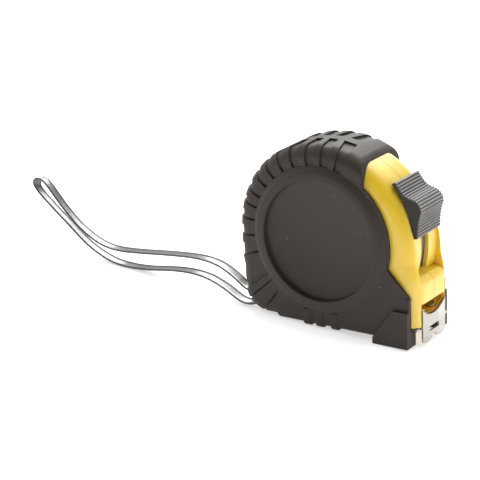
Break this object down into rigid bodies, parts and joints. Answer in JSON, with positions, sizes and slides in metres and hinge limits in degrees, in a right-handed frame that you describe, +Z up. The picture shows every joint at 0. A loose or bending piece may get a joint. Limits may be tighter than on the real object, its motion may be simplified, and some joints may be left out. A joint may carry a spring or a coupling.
{
  "type": "tape measure",
  "caption": "Pocket tape measure with a rubber-armoured case, a sliding lock button, a sprung steel blade, an end hook with play, and a wrist strap.",
  "frame": {"origin": "centre of the case's footprint on the surface it stands on, without the strap", "axes": "+X towards the mouth and hook, +Z up, -Y to the case's right-hand side"},
  "size_m": [0.199, 0.0334, 0.0756],
  "materials": {
    "yellow_plastic": "moulded ABS, satin",
    "dark_rubber": "matte overmoulded rubber",
    "black_plastic": "moulded, fine texture",
    "grey_plastic": "moulded",
    "white_plastic": "moulded",
    "strap_plastic": "extruded soft ribbon",
    "yellow_paint": "enamelled spring steel",
    "bright_steel": "nickel plated",
    "spring_steel": "plain"
  },
  "bodies": {
    "case": {"right_case_half": "yellow_plastic", "left_case_half": "yellow_plastic", "right_armour": "dark_rubber", "left_armour": "dark_rubber", "spindle": "spring_steel", "case_screw_1": "bright_steel", "case_screw_2": "bright_steel", "case_screw_3": "bright_steel", "mouth_plate": "bright_steel", "strap_post": "black_plastic", "wrist_strap": "strap_plastic"},
    "lock": {"lock_button": "black_plastic", "lock_band": "grey_plastic"},
    "spool": {"spool_drum": "white_plastic", "spool_cover": "white_plastic", "power_spring": "spring_steel", "blade_coil": "yellow_paint"},
    "blade": {"blade": "yellow_paint", "blade_rivet_1": "bright_steel", "blade_rivet_2": "bright_steel"},
    "hook": {"hook": "bright_steel"}
  },
  "joints": [
    {"name": "lock_slide", "type": "hinge", "parent": "case", "child": "lock", "pos_m": [-0.00288, 0, 0.03723], "axis": [0, 1, 0], "range_deg": [0, 15]},
    {"name": "spool_turn", "type": "hinge", "parent": "case", "child": "spool", "pos_m": [-0.00288, 0, 0.03723], "axis": [0, -1, 0], "range_deg": [0, 78]},
    {"name": "blade_slide", "type": "slide", "parent": "case", "child": "blade", "axis": [0.999, 0, 0.0437], "range_m": [0, 0.03]},
    {"name": "hook_slide", "type": "slide", "parent": "blade", "child": "hook", "axis": [0.999, 0, 0.0437], "range_m": [0, 0.0008]}
  ],
  "couplings": [
    {"joint": "blade_slide", "follows": "spool_turn", "m_per_rad": 0.022}
  ]
}
